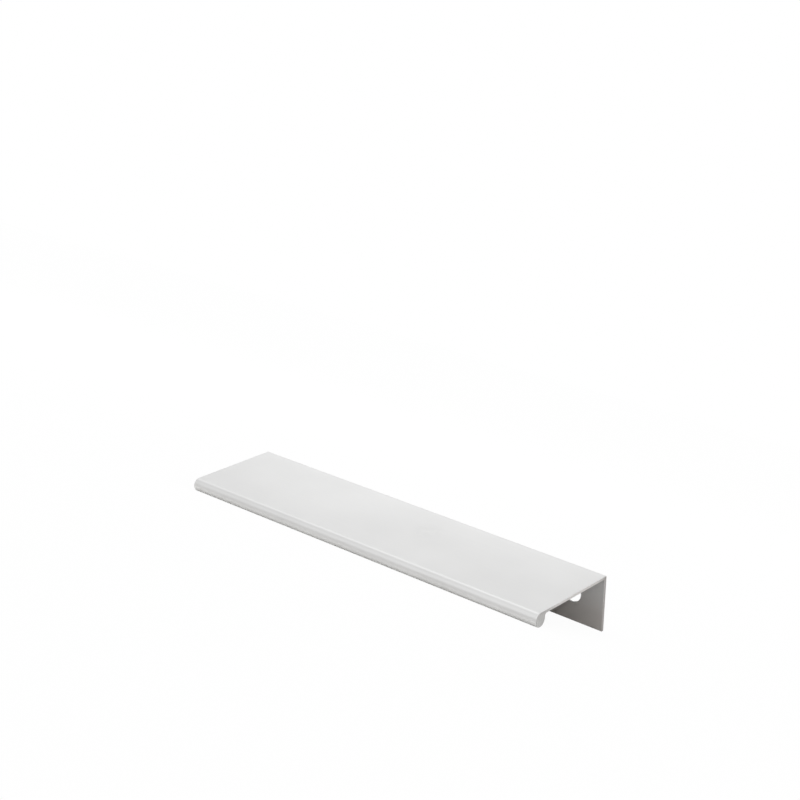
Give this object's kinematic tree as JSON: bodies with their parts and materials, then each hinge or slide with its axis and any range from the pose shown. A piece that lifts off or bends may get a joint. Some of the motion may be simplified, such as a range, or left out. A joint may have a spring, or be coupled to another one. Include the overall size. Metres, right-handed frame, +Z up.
{
  "type": "l-shaped handle",
  "caption": "Short L-shaped edge pull of extruded aluminium: a flat leaf with a round lip along its front and a drilled leg along its back, for the top edge of a door or drawer.",
  "frame": {"origin": "on the floor, in the middle of the piece's length and of its width on the floor", "axes": "+X along the profile, +Z up; the piece lies as it comes to rest, tipped forward onto its round lip and the leg's foot, with the lip towards -Y and the leg towards +Y. The section is turned by 23.204 degrees about +X from its fitted attitude, in which the leaf is level"},
  "size_m": [0.152, 0.0408, 0.0181],
  "materials": {
    "handle_metal": "satin, matt anodised, with a fine grain along the length"
  },
  "bodies": {
    "root": {"handle_profile": "handle_metal"}
  },
  "joints": []
}
